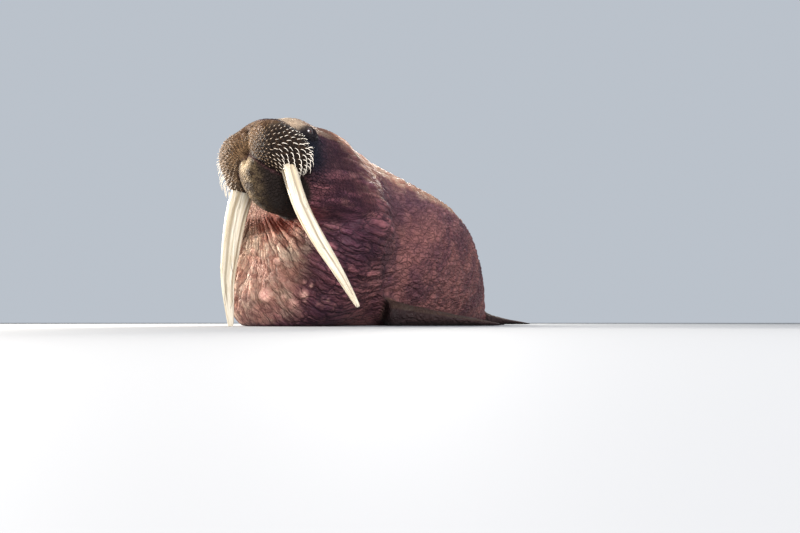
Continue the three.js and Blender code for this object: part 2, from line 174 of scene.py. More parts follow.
# The face and the folded breast need a finer mesh than the back.
HEAD_MIDDLE = [0, 0.06, 0]
HEAD_REACH = 0.40
FACE_REACH = 0.235
FACE_BACK = 0.16
BREAST_BEHIND = -1.02
BREAST_HEIGHTS = (0.02, 0.56)
BREAST_LEFT = 0.42


def points_of(form):
    """The places of a mesh's vertices, one row each."""
    return np.array([vertex.co for vertex in form.verts])


def seen_from(matrix, points):
    """Points in the axes of a frame, such as the head's."""
    back = np.array(matrix.inverted())
    return points @ back[:3, :3].T + back[:3, 3]


def refine(form, near):
    """Halves the mesh where near says so, and takes the facets off there."""
    points = points_of(form)
    chosen = near(points)
    edges = [e for e in form.edges if chosen[e.verts[0].index] and chosen[e.verts[1].index]]
    bmesh.ops.subdivide_edges(form, edges=edges, cuts=1, use_grid_fill=True)
    form.verts.index_update()
    chosen = near(points_of(form))
    smooth(form, [v for v in form.verts if chosen[v.index]], 2)


def on_head(points):
    return np.linalg.norm(seen_from(head, points) - HEAD_MIDDLE, axis=1) < HEAD_REACH


def on_face(points):
    local = seen_from(head, points)
    return (np.linalg.norm(local * [1, 1.1, 1], axis=1) < FACE_REACH) & (local[:, 1] < FACE_BACK)


def on_breast(points):
    x, y, z = points.T
    in_height = (z > BREAST_HEIGHTS[0]) & (z < BREAST_HEIGHTS[1])
    return (y < BREAST_BEHIND) & in_height & (x < BREAST_LEFT)


form.verts.index_update()
refine(form, on_breast)
refine(form, on_head)
refine(form, on_face)
form.normal_update()
points = points_of(form)
normals = np.array([vertex.normal for vertex in form.verts])


def ramp(values, start, end):
    """0 before start, 1 after end, and smooth between."""
    t = np.clip((values - start) / (end - start), 0, 1)
    return t * t * (3 - 2 * t)


def bump_at(distance, reach):
    """A soft knob of height 1 that ends at its reach."""
    return 1 - ramp(distance, 0, reach)


def egg_level(eggs, points):
    """How far out each point is from the nearest of some egg forms: 1 on an egg's own surface."""
    return np.min([np.linalg.norm(seen_from(egg, points), axis=1) for egg in eggs], axis=0)


local = seen_from(head, points)
across, back, up = local.T
pad_level = egg_level([egg for side in SIDES.values() for egg in pad_eggs(side)], points)
in_pad = 1 - ramp(pad_level, 1.05, 1.16)

# The chin and the lower lip under the pads.
CHIN = Vector((0, 0.062, -0.124))
CHIN_HALF = Vector((0.090, 0.138, 0.096))
CHIN_TILT = math.radians(-13)
LIP = Vector((0, -0.030, -0.084))
LIP_HALF = Vector((0.058, 0.054, 0.050))
chin_frame = head @ Matrix.Translation(CHIN) @ Matrix.Rotation(CHIN_TILT, 4, "X")
chin_egg = chin_frame @ Matrix.Diagonal((*CHIN_HALF, 1))
lip_egg = head @ Matrix.Translation(LIP) @ Matrix.Diagonal((*LIP_HALF, 1))
chin_level = egg_level([chin_egg, lip_egg], points)
in_chin = (1 - ramp(chin_level, 1.06, 1.20)) * (1 - in_pad)

# How far each vertex moves outwards along its normal. All of the skin starts a little inside.
out = np.full(len(points), -HIDE_INSET)

# The crease down the middle of the muzzle, which leans to the left as it rises from the lip to the nose.
LEAN = 0.55
LEAN_HEIGHTS = (-0.030, 0.075)
CREASE_OFF = 0.006
CREASE_WIDE = 0.007
CREASE_DEEP = 0.010


def crease_at(height):
    """How far to the left the crease stands at a height in the head's frame."""
    return CREASE_OFF + LEAN * np.clip(height, *LEAN_HEIGHTS)


from_middle = across - crease_at(up)
in_front = ramp(-back, -0.02, 0.03)
crease = np.exp(-((from_middle / CREASE_WIDE) ** 2)) * in_front
crease *= ramp(up, -0.075, -0.05) * (1 - ramp(up, 0.060, 0.080))
out -= CREASE_DEEP * crease * ramp(-up, -0.10, 0.06)

# The line of the mouth, where the pads rest on the lower lip.
MOUTH_DEEP = 0.007
MOUTH_LEVEL = 1.06
MOUTH_WIDE = 0.045
mouth = np.exp(-(((pad_level - MOUTH_LEVEL) / MOUTH_WIDE) ** 2)) * (1 - ramp(chin_level, 1.05, 1.25))
out -= MOUTH_DEEP * mouth

# The nostrils: two curved slits across the top of the nose, each with a raised rim.
NOSTRIL = {"x": 0.046, "z": 0.052, "long": 0.025, "wide": 0.0060, "curve": 0.010}
NOSTRIL_DEEP = 0.011
NOSTRIL_RIM = 0.0055
# The slits are also marked for painted shade.
nostril_shade = np.zeros(len(points))
bare_nose = np.zeros(len(points))
for side in SIDES.values():
    along = (side * from_middle - NOSTRIL["x"]) / NOSTRIL["long"]
    beside = (up - NOSTRIL["z"] + NOSTRIL["curve"] * along**2) / NOSTRIL["wide"]
    near = in_front * (1 - ramp(np.abs(along), 0.75, 1.1))
    slit = near * np.exp(-(beside**2))
    rim = near * np.exp(-(((np.abs(beside) - 2.2) / 0.9) ** 2))
    out += NOSTRIL_RIM * rim - NOSTRIL_DEEP * slit
    nostril_shade = np.maximum(nostril_shade, slit)
    bare_nose = np.maximum(bare_nose, near * np.exp(-((beside / 5) ** 2)))

# The lids: a low mound with a slit, and two creases round it.
LID = {"long": 0.036, "high": 0.026, "slit": 0.0055, "open": 0.013, "rise": 0.004, "deep": 0.010}
LID_CREASES = [(1.35, 0.16), (1.9, 0.2)]
LID_CREASE_DEEP = 0.003
lid_mask = np.zeros(len(points))
for side in SIDES.values():
    dx = side * across - EYE.x
    dy = back - EYE.y
    dz = up - EYE.z
    ring = np.sqrt((dy / LID["long"]) ** 2 + (dz / LID["high"]) ** 2)
    outside = ramp(dx, -0.01, 0.01)
    out += LID["rise"] * outside * np.exp(-(((ring - 0.75) / 0.3) ** 2))
    for ring_at, wide in LID_CREASES:
        out -= LID_CREASE_DEEP * outside * np.exp(-(((ring - ring_at) / wide) ** 2))
    open_eye = outside * np.exp(-((dz / LID["slit"]) ** 2))
    open_eye = open_eye * (1 - ramp(np.abs(dy), 0.7 * LID["open"], 1.3 * LID["open"]))
    out -= LID["deep"] * open_eye
    # The lid mound is painted dark in the material, as painted shade round the eye.
    lid_mask = np.maximum(lid_mask, outside * (1 - ramp(ring, 0.9, 1.6)))

# The ears: a small pit behind a low fold.
EAR = Vector((0.156, 0.236, 0.040))
EAR_REACH = 0.05
EAR_FOLD = {"before": 0.014, "wide": 0.012, "high": 0.006}
EAR_PIT = {"wide": 0.012, "deep": 0.010}
for side in SIDES.values():
    from_ear = np.sqrt((side * across - EAR.x) ** 2 + (back - EAR.y) ** 2 + (up - EAR.z) ** 2)
    from_fold = np.sqrt((back - EAR.y + EAR_FOLD["before"]) ** 2 + 0.3 * (up - EAR.z) ** 2)
    fold = np.exp(-((from_fold / EAR_FOLD["wide"]) ** 2)) * bump_at(from_ear, EAR_REACH)
    out += EAR_FOLD["high"] * fold
    out -= EAR_PIT["deep"] * np.exp(-((from_ear / EAR_PIT["wide"]) ** 2))

# Folds and wrinkles: all of them run out from the throat, down over the chest and back along the
# flanks. fold_place unrolls the hide about the throat, so that what is even there runs that way.
THROAT = Vector((0.05, -1.34, 0.50))
FOLD_TURN = 0.42
FOLD_STRETCH = 2.6
FLANK_REACH = 0.65
FLANK_STRETCH = 2.0
FOLD_DEEP = 0.017
FOLD_SIZE = 0.044
COARSE_DEEP = 0.008
COARSE_SIZE = 0.042
NET_DEEP = 0.004
NET_SIZE = 0.022
FLIPPER_NEAR = 0.02
WANDER_SEED = 11

# Without a seed, the wander of the creases would be another one in every run.
noise.seed_set(WANDER_SEED)


def creases(places, size, wander, seed, width):
    """Islands of skin parted by creases, 1 on an island and 0 in a crease."""
    field = np.empty(len(places))
    shift = Vector((seed * 3.7, seed * 1.9, seed * 5.3))
    for i, place in enumerate(places):
        at = Vector(place) / size + shift
        at += wander * noise.noise_vector(at * 0.6)
        near = noise.voronoi(at)[0]
        field[i] = near[1] - near[0]
    return ramp(field, 0.0, width)


def corners_and_faces(mesh):
    """The corners and the faces of a mesh, as a search tree takes them."""
    return [vertex.co for vertex in mesh.vertices], [tuple(face.vertices) for face in mesh.polygons]


from_throat = points - np.array(THROAT)
reach = np.linalg.norm(from_throat, axis=1)
turn = np.arctan2(from_throat[:, 0], -from_throat[:, 2])
unrolled_reach = np.minimum(reach, FLANK_REACH) / FOLD_STRETCH
unrolled_reach += np.maximum(reach - FLANK_REACH, 0) / FLANK_STRETCH
unrolled = np.stack([FOLD_TURN * np.sin(turn), FOLD_TURN * np.cos(turn), unrolled_reach], axis=1)
head_part = 1 - ramp(back, 0.17, 0.32)
head_part *= ramp(up, -0.26, -0.17)
fold_place = unrolled * (1 - head_part[:, None]) + 1.7 * local * head_part[:, None]

on_body = 1 - np.maximum(in_pad, in_chin)
forward = 1 - ramp(points[:, 1], -1.05, -0.35)
low_flipper = np.zeros(len(points))
for name in FLIPPERS:
    flipper_surface = BVHTree.FromPolygons(*corners_and_faces(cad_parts[name].data))
    low, high = [np.array(corner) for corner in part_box(name)]
    near_box = np.all((points > low - FLIPPER_NEAR) & (points < high + FLIPPER_NEAR), axis=1)
    for i in np.flatnonzero(near_box):
        away = flipper_surface.find_nearest(Vector(points[i]))[3]
        low_flipper[i] = max(low_flipper[i], 1 - min(max((away - 0.006) / 0.012, 0), 1))

long_folds = unrolled * [1, 1, 0.3]
radial = creases(long_folds, FOLD_SIZE, wander=0.40, seed=1, width=0.40)
coarse = creases(unrolled, COARSE_SIZE, wander=0.7, seed=3, width=0.36)
net = creases(fold_place, NET_SIZE, wander=0.8, seed=2, width=0.34)
high_skin = ramp(points[:, 2], 0.03, 0.12)
body_part = on_body * (1 - head_part) * high_skin
out -= FOLD_DEEP * (1 - radial) * forward * body_part * (1 - 0.6 * ramp(reach, 0.28, 0.45))
out -= COARSE_DEEP * (1 - coarse) * body_part * (1 - 0.6 * forward)
out -= NET_DEEP * (1 - net) * on_body * high_skin * (1 - 0.6 * low_flipper) * (1 - 0.5 * head_part)

# Where each whisker stands: rings round the middle of the lip, from which the rows fan out over the
# pad. They stay off the nose, the chin and the crease between the pads.
LIP_MIDDLE = Vector((0.004, -0.080, -0.052))
PAD_HEART = Vector((0.072, 0.030, -0.010))
WHISKER_RINGS_OUT = 17
WHISKERS_ROUND = 42
WHISKER_NEAR = math.radians(14)
WHISKER_FAR = math.radians(128)
NOSE_TOP = 0.046
PAD_BACK = 0.075
DRAW_SEED = 7

draw = np.random.default_rng(DRAW_SEED)
bare_surface = BVHTree.FromBMesh(form)
to_world = head.to_3x3()


def whisker_roots(side):
    """Where the whiskers of one pad stand: the place, the way outwards over the pad, how far to the
    side and how high it is on the head, and its place on the unrolled pad."""
    heart = Vector((side * PAD_HEART.x, PAD_HEART.y, PAD_HEART.z))
    pole = (LIP_MIDDLE - heart).normalized()
    first = pole.cross(Vector((0, 0, 1))).normalized()
    second = pole.cross(first)
    found = []
    for ring in range(WHISKER_RINGS_OUT):
        outwards = ring / (WHISKER_RINGS_OUT - 1)
        away = WHISKER_NEAR + (WHISKER_FAR - WHISKER_NEAR) * (0.5 * outwards + 0.5 * outwards**2)
        count = round(WHISKERS_ROUND * math.sin(away) ** 0.5)
        for k in range(count):
            angle = 2 * math.pi * (k + 0.5 * (ring % 2) + draw.uniform(-0.10, 0.10)) / count
            spoke = math.cos(angle) * first + math.sin(angle) * second
            aim = math.cos(away) * pole + math.sin(away) * spoke
            place = bare_surface.ray_cast(head @ heart, to_world @ aim)[0]
            if place is None:
                continue
            at = head.inverted() @ place
            on_pad = egg_level(pad_eggs(side), np.array([place]))[0] <= 1.06
            on_chin = egg_level([chin_egg, lip_egg], np.array([place]))[0] < 1.12
            beyond_middle = side * (at.x - crease_at(at.z)) < 0.005
            too_high = at.z > NOSE_TOP - 0.25 * max(side * at.x - 0.09, 0)
            if beyond_middle or too_high or on_chin or not on_pad or at.y > PAD_BACK:
                continue
            onward = to_world @ (math.cos(away) * spoke - math.sin(away) * pole)
            unrolled_at = (0.5 + 0.15 * away * math.cos(angle), 0.5 + 0.15 * away * math.sin(angle))
            found.append((place, onward, side * at.x, at.z, unrolled_at))
    return found


whisker_places = {name: whisker_roots(side) for name, side in SIDES.items()}
roots_tree = KDTree(sum(len(found) for found in whisker_places.values()))
for found in whisker_places.values():
    for place, *_ in found:
        roots_tree.insert(place, 0)
roots_tree.balance()
FOLLICLE_WIDE = 0.0036
FOLLICLE_HIGH = 0.0020
follicle = np.zeros(len(points))
for i in np.flatnonzero(in_pad > 0.01):
    follicle[i] = math.exp(-((roots_tree.find(points[i])[2] / FOLLICLE_WIDE) ** 2))
out += FOLLICLE_HIGH * follicle * in_pad

# The pale patch of the lip, under the middle of the pads.
LIP_PATCH = [-0.006, -0.078, -0.066]
LIP_PATCH_REACH = 0.040
lip = bump_at(np.linalg.norm(local - LIP_PATCH, axis=1), LIP_PATCH_REACH)
lip *= 1 - in_pad

# The knobs of an old male, each a pale lump of thick skin: the large ones low on the breast, in a loose
# group, and small ones drawn round them.
BREAST_KNOBS = [
    ((0.150, -1.410, 0.108), 0.026), ((0.237, -1.353, 0.077), 0.019), ((0.277, -1.342, 0.111), 0.017),
    ((0.174, -1.371, 0.047), 0.017), ((0.248, -1.302, 0.027), 0.016), ((0.198, -1.408, 0.232), 0.015),
    ((0.063, -1.408, 0.282), 0.011), ((0.020, -1.370, 0.080), 0.014),
]
SMALL_KNOBS = 12
SMALL_KNOB_SIZES = (0.005, 0.010)
LOW_BREAST = np.array([0.14, -1.36, 0.10])
LOW_BREAST_HALF = np.array([0.22, 0.10, 0.10])
KNOB_HIGH = 0.016
largest = max(size for _, size in BREAST_KNOBS)
knobs = [(np.array(place), size) for place, size in BREAST_KNOBS]
for _ in range(SMALL_KNOBS):
    place = LOW_BREAST + LOW_BREAST_HALF * draw.uniform(-1, 1, 3)
    knobs.append((place, draw.uniform(*SMALL_KNOB_SIZES)))
knob = np.zeros(len(points))
for centre, size in knobs:
    nearest = points[np.argmin(np.linalg.norm(points - centre, axis=1))]
    distance = np.linalg.norm(points - nearest, axis=1)
    knob = np.maximum(knob, np.sqrt(bump_at(distance, 1.25 * size)) * size / largest)
knob *= on_body * high_skin
smooth_knob = np.clip(1.6 * knob, 0, 1)
out = out * (1 - smooth_knob) - HIDE_INSET * smooth_knob + KNOB_HIGH * knob

# The moves. The underside comes down again by what the skin was moved in, and ends on the floor.
UNDERSIDE_INSET = 0.0008
FLOOR_GAP = 0.0006
points += normals * out[:, None]
points[:, 2] -= (HIDE_INSET - UNDERSIDE_INSET) * (1 - ramp(points[:, 2], 0.006, 0.05))
points[:, 2] = np.maximum(points[:, 2], FLOOR_GAP)
for vertex, point in zip(form.verts, points):
    vertex.co = point
form.normal_update()
skin_surface = BVHTree.FromBMesh(form)

# The zones that the material paints. The hide is painted palest where the lamps light it, on the up-facing
# back, the crown and the side of the breast that faces the key lamp, as painted highlight, and darkest on
# the cheeks, as painted shade.
LIT_PATCH = [0.229, -1.388, 0.315]
LIT_PATCH_REACH = 0.060
UNDER_CHIN = [0.170, -1.38, 0.385]
UNDER_CHIN_REACH = 0.14
x, y, z = points.T
crown = ramp(up, 0.050, 0.080) * ramp(back, 0.015, 0.050)
upward = ramp(normals[:, 2], 0.22, 0.80) * np.maximum(1 - head_part, crown)
breast_toward_key = ramp(-normals[:, 1] - 0.5 * normals[:, 0], 0.05, 0.75) * forward * ramp(z, -0.20, 0.22)
breast_toward_key *= ramp(x, -0.40, -0.10) * (1 - ramp(x, 0.20, 0.40)) * (1 - ramp(z, 0.46, 0.56))
# A pale patch on the breast beside the tusk, painted as lit skin: painted highlight.
lit_patch = bump_at(np.linalg.norm(points - LIT_PATCH, axis=1), LIT_PATCH_REACH)
lit = np.maximum(upward * (1 + 0.3 * crown), np.maximum(breast_toward_key, lit_patch)) * on_body
low_breast = breast_toward_key * (1 - ramp(z, 0.08, 0.34))
from_under_chin = np.linalg.norm((points - UNDER_CHIN) * [0.6, 1, 1.6], axis=1)
# Painted shade: the cheeks are painted near black-blue where shade falls on the side of the head.
cheek_shade = on_body * (1 - crown) * ramp(back, 0.0, 0.04) * (1 - ramp(back, 0.13, 0.24))
cheek_shade = cheek_shade * ramp(up, -0.14, -0.05)
behind_shoulder = ramp(y, -1.32, -0.80)
near_throat = ramp(reach, 0.04, 0.09) * (1 - ramp(reach, 0.26, 0.46))
# The gap between the pads and the chin, painted dark as painted shade.
mouth_gap = (1 - ramp(pad_level, 1.25, 1.6)) * (1 - ramp(chin_level, 1.3, 1.6)) * (1 - in_chin)
# Painted shade in the creases, weaker on the breast that faces the key lamp and behind the shoulder.
crease_shade = on_body * (1 - coarse * (1 - forward * (1 - radial))) * (1 - smooth_knob)
crease_shade = crease_shade * (1 - 0.45 * breast_toward_key) * (1 - 0.6 * behind_shoulder)
zones = {
    "cheek_shade": cheek_shade,
    # Painted reddish shade under the chin.
    "under_chin_shade": bump_at(from_under_chin, UNDER_CHIN_REACH) * on_body,
    # The lit side of the chin, for painted light and shade.
    "chin_lit_side": ramp(-across - 0.6 * back, -0.04, 0.06),
    # The lit side of the pads, for painted light and shade.
    "pad_lit_side": 1 - ramp(across - 1.2 * up, 0.0, 0.11),
    # Painted highlight on up-facing skin.
    "upward": upward * (1 - 0.6 * forward),
    # Painted highlight on the up-facing crown.
    "crown": crown * ramp(normals[:, 2], 0.0, 0.45) * on_body * (1 - ramp(back, 0.08, 0.15)),
    "low_breast": low_breast,
    # Painted shade in the pleat valleys.
    "pleat": on_body * forward * near_throat * (1 - smooth_knob),
    "turn": turn,
    "pad": in_pad,
    "chin": in_chin,
    "crease": crease_shade,
    "behind": behind_shoulder,
    # Painted bluish shade high on the flank.
    "high": ramp(z, 0.42, 0.72) * (1 - upward),
    "knob": knob,
    "nostril": nostril_shade,
    "nose": bare_nose,
    "lid": lid_mask,
    "flipper": low_flipper,
    "lit": lit,
    "follicle": follicle,
    "lip": lip,
    "mouth": np.maximum(mouth * (1 - ramp(pad_level, 1.10, 1.2)), mouth_gap * (1 - in_pad)),
}


def paint_layer(mesh, name, values):
    """Numbers or places on the vertices of a mesh, which its material reads by name."""
    kind, field = ("FLOAT", "value") if values.ndim == 1 else ("FLOAT_VECTOR", "vector")
    layer = mesh.attributes.new(name, kind, "POINT")
    layer.data.foreach_set(field, values.astype(np.float32).ravel())


# The carved skin keeps its faces where it is folded and loses them where it is flat. Its zones go over
# from the carved vertices to those that are left.
hide.data.clear_geometry()
form.to_mesh(hide.data)
form.free()
thinning = hide.modifiers.new("fewer faces", "DECIMATE")
thinning.ratio = HIDE_KEPT
hide.data = applied(hide)
hide.data.shade_smooth()
carved = KDTree(len(points))
for i, point in enumerate(points):
    carved.insert(point, i)
carved.balance()
kept = np.array([carved.find(vertex.co)[1] for vertex in hide.data.vertices])
for name, values in zones.items():
    paint_layer(hide.data, name, values[kept])
paint_layer(hide.data, "fold_place", fold_place[kept])


class Wire:
    """The output of a shader node. Sums and products on it add Math nodes."""

    def __init__(self, tree, output=None):
        self.tree = tree
        self.output = output

    def node(self, kind, settings=None, sockets=None, out=0):
        """Adds a node: its settings first, then the values or wires of its sockets."""
        made = self.tree.nodes.new(kind)
        for name, value in (settings or {}).items():
            setattr(made, name, value)
        for name, value in (sockets or {}).items():
            if isinstance(value, Wire):
                self.tree.links.new(value.output, made.inputs[name])
            elif isinstance(value, tuple) and made.inputs[name].type == "RGBA":
                made.inputs[name].default_value = (*value, 1)
            else:
                made.inputs[name].default_value = value
        return Wire(self.tree, made.outputs[out])

    def maths(self, operation, first, second=0.0, clamp=False):
        settings = {"operation": operation, "use_clamp": clamp}
        return self.node("ShaderNodeMath", settings, {0: first, 1: second})

    def __add__(self, other):
        return self.maths("ADD", self, other)

    def __radd__(self, other):
        return self.maths("ADD", other, self)

    def __sub__(self, other):
        return self.maths("SUBTRACT", self, other)

    def __rsub__(self, other):
        return self.maths("SUBTRACT", other, self)

    def __mul__(self, other):
        return self.maths("MULTIPLY", self, other)

    def __rmul__(self, other):
        return self.maths("MULTIPLY", other, self)

    def clamped(self):
        return self.maths("ADD", self, 0.0, clamp=True)


def paint(red, green, blue):
    """A colour as a paint chart gives it, 0 to 255, made linear."""
    shares = [c / 255 for c in (red, green, blue)]
    return tuple(((c + 0.055) / 1.055) ** 2.4 if c > 10 / 255 else c / 12.92 for c in shares)


def new_finish(name):
    """A material with a bare Principled shader: the starting wire and the shader."""
    material = bpy.data.materials.new(name)
    material.use_nodes = True
    return material, Wire(material.node_tree), material.node_tree.nodes["Principled BSDF"]


def feed(wire, shader, socket):
    wire.tree.links.new(wire.output, shader.inputs[socket])


def over(factor, below, above):
    """One colour laid over another by a factor."""
    sockets = {"Factor": factor, 6: below, 7: above}
    return factor.node("ShaderNodeMix", {"data_type": "RGBA"}, sockets, out=2)


def clouds(start, place, scale, detail=3.0, roughness=0.6):
    """Soft noise, about 0.5 in the middle."""
    sockets = {"Vector": place, "Scale": scale, "Detail": detail, "Roughness": roughness}
    return start.node("ShaderNodeTexNoise", {}, sockets)


def ramped(value, low, high):
    """0 below low and 1 above high."""
    sockets = {"Value": value, "From Min": low, "From Max": high}
    return value.node("ShaderNodeMapRange", {"interpolation_type": "SMOOTHSTEP", "clamp": True}, sockets)


def cracks(start, place, scale):
    """Distance to the edge of a cell: 0 in a crease."""
    sockets = {"Vector": place, "Scale": scale}
    return start.node("ShaderNodeTexVoronoi", {"feature": "DISTANCE_TO_EDGE"}, sockets)


def zone(start, name):
    """A number painted on the vertices."""
    return start.node("ShaderNodeAttribute", {"attribute_name": name}, out=2)


def painted_place(start, name):
    """A place painted on the vertices."""
    return start.node("ShaderNodeAttribute", {"attribute_name": name}, out=1)


def object_place(start):
    return start.node("ShaderNodeTexCoord", out=3)


def bumped(height, strength=1.0):
    """A normal that leans as a height given in metres says."""
    return height.node("ShaderNodeBump", {}, {"Strength": strength, "Distance": 1.0, "Height": height})


PLEATS_ROUND = 38.0
# Painted shade in the creases, and a lighter copy of it for creases in the painted lit skin.
GROOVE_SHADE = paint(36, 18, 28)
LIT_GROOVE_SHADE = paint(72, 38, 34)


def hide_finish():
    """Wrinkled hide: purplish brown flanks, painted-lit cream back and breast, painted shade on cheeks and
    creases, dark muzzle and flippers.
    """
    material, start, shader = new_finish("walrus hide")
    place = object_place(start)
    fold = painted_place(start, "fold_place")
    drift = start.node("ShaderNodeTexNoise", {}, {"Vector": place, "Scale": 14.0, "Detail": 2.0}, out=1)
    bend = {"operation": "MULTIPLY_ADD"}
    bent = start.node("ShaderNodeVectorMath", bend, {0: drift, 1: (0.030, 0.030, 0.030), 2: fold})
    fold_edge = cracks(start, bent, 46.0)
    wrinkle = ramped(fold_edge, 0.0, 0.24)
    line = ramped(fold_edge, 0.0, 0.11)
    fine = ramped(cracks(start, bent, 130.0), 0.0, 0.26)
    grain = clouds(start, place, 420.0, 3.0, 0.65)
    mottled = clouds(start, place, 5.0, 5.0, 0.62)
    patchy = clouds(start, place, 17.0, 5.0, 0.66)
    speckle = clouds(start, place, 60.0, 4.0, 0.6)
    stain = clouds(start, place, 46.0, 6.0, 0.75)
    mottling = ramped(mottled, 0.38, 0.62)
    lit = zone(start, "lit")
    knob = zone(start, "knob")
    behind = zone(start, "behind")

    # Pleats that fan out from the throat, broken off here and there.
    pleat_turn = zone(start, "turn") * PLEATS_ROUND + clouds(start, place, 5.0) * 9.0
    wave = pleat_turn.maths("SINE", pleat_turn)
    broken_off = ramped(clouds(start, place, 9.0), 0.40, 0.54)
    pleat_valley = (1 - ramped(wave.maths("ABSOLUTE", wave), 0.0, 0.55)) * broken_off
    pleat_valley = pleat_valley * zone(start, "pleat")

    # The flank, redder behind the shoulder, with paler patches at random as painted highlights, and bluer
    # high up as painted bluish shade.
    flank = over(mottling, paint(92, 54, 68), paint(146, 90, 94))
    # Paler patches at random: painted highlights.
    flank = over(ramped(patchy, 0.50, 0.72) * 0.6, flank, paint(186, 130, 122))
    flank = over(behind * 0.5, flank, over(mottling, paint(118, 80, 80), paint(160, 112, 98)))
    high_flank = over(ramped(patchy, 0.4, 0.6), paint(84, 66, 86), paint(128, 96, 104))
    flank = over(zone(start, "high") * 0.6, flank, high_flank)

    # The pale skin of the breast, the back and the crown is painted highlight where they face the lamps, a
    # duller painted highlight on the up-facing back, bruised low down.
    pale = over(ramped(patchy, 0.40, 0.66), paint(208, 154, 130), paint(244, 218, 188))
    lit_back_skin = over(ramped(mottled, 0.36, 0.64), paint(148, 106, 90), paint(196, 152, 122))
    pale = over((zone(start, "upward") * 0.8).clamped(), pale, lit_back_skin)
    colour = over(ramped(lit + 0.6 * (patchy - 0.5), 0.20, 0.85), flank, pale)
    bruises = ramped(clouds(start, place, 11.0, 6.0, 0.7), 0.40, 0.62)
    bruised = over(bruises, paint(168, 122, 100), paint(104, 66, 66))
    colour = over(zone(start, "low_breast") * 0.75, colour, bruised)

    # Wrinkles, folds and pleats are painted darker than the skin between them, as painted shade in the
    # creases, lighter where the skin is painted lit, and the knobs are paler.
    colour = over((1 - fine) * 0.25, colour, paint(80, 46, 46))
    groove = over(lit.clamped(), GROOVE_SHADE, LIT_GROOVE_SHADE)
    line_strength = 0.85 - 0.7 * knob - 0.5 * lit - 0.35 * behind
    colour = over(((1 - line) * line_strength).clamped(), colour, groove)
    colour = over(pleat_valley * 0.8, colour, groove)
    colour = over((zone(start, "crease") * 0.72).clamped(), colour, groove)
    knob_skin = over(ramped(speckle, 0.4, 0.6), paint(200, 146, 132), paint(230, 180, 160))
    colour = over((knob * 1.1).clamped(), colour, knob_skin)
    # Painted reddish shade under the chin, darker in its creases.
    colour = over(zone(start, "under_chin_shade") * 0.85, colour, over(line, paint(70, 20, 18), paint(176, 76, 60)))
    # Painted shade on the cheeks.
    colour = over(zone(start, "cheek_shade") * 0.95, colour, paint(14, 20, 32))
    # Painted highlight on the top of the head.
    lit_crown_skin = over(patchy, paint(186, 156, 122), paint(240, 222, 192))
    colour = over(zone(start, "crown") * 0.7, colour, lit_crown_skin)

    # The head: pads painted dark on their shaded side and tan on their lit side, a stained chin painted
    # olive on its lit side and dark on its shaded side, bare lips, and lids, mouth line and nostrils
    # darkened as painted shade.
    # Lit and shaded copies of the pad colour: painted light and shade.
    shaded_muzzle = over(ramped(speckle, 0.42, 0.66), paint(26, 18, 15), paint(50, 36, 28))
    lit_muzzle = over(ramped(speckle, 0.40, 0.62), paint(84, 62, 42), paint(132, 104, 74))
    muzzle = over(zone(start, "pad_lit_side") * 0.85, shaded_muzzle, lit_muzzle)
    muzzle = over((zone(start, "follicle") * 0.5).clamped(), muzzle, paint(120, 92, 64))
    colour = over(zone(start, "pad"), colour, muzzle)
    colour = over(zone(start, "nose"), colour, paint(112, 84, 62))
    # The chin is painted olive on its lit side and dark on its shaded side: painted light and shade.
    lit_olive_chin = over(ramped(stain, 0.42, 0.64), paint(70, 54, 38), paint(150, 126, 92))
    chin_skin = over(zone(start, "chin_lit_side"), paint(34, 26, 22), lit_olive_chin)
    colour = over(zone(start, "chin"), colour, chin_skin)
    lip = (zone(start, "lip") * ramped(stain, 0.30, 0.46)).clamped()
    colour = over(lip, colour, paint(206, 180, 142))
    # The flippers are painted dark: partly their own dark skin, partly painted shade under the body.
    colour = over(zone(start, "flipper") * 0.92, colour, paint(30, 22, 21))
    # Painted shade round the eye: the lids are painted dark.
    colour = over(zone(start, "lid") * 0.85, colour, paint(30, 24, 26))
    # Painted shade in the line of the mouth.
    colour = over(zone(start, "mouth"), colour, paint(30, 18, 16))
    # Painted shade in the nostril slits.
    colour = over(zone(start, "nostril"), colour, paint(12, 8, 8))
    feed(colour, shader, "Base Color")

    feed(0.42 + 0.22 * grain + 0.12 * (1 - wrinkle), shader, "Roughness")
    calm = 1 - 0.6 * lit.clamped()
    height = 0.0050 * calm * wrinkle - 0.0065 * pleat_valley + 0.0018 * fine
    height = height + 0.0006 * grain + 0.0020 * patchy
    feed(bumped(height), shader, "Normal")
    shader.inputs["Specular IOR Level"].default_value = 0.16
    return material


hide.data.materials.append(hide_finish())
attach(hide, "root")
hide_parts(*FLESH, *FLIPPERS, "whisker_pad_left", "whisker_pad_right")

# The whiskers
# Stiff horny bristles, thick as a quill, in rows that fan out over each pad from the middle of the lip,
# short by the nose and long and hooked low on the cheek. Each is a tapered tube set in the skin.
WHISKER_SHORT = 0.0056
WHISKER_LONG = 0.040
WHISKER_ROOT = 0.00095
WHISKER_SUNK = 0.005
WHISKER_SIDES = 5
WHISKER_RINGS = 6
RIGHT_LONGER = 1.5
PATCH = 0.003


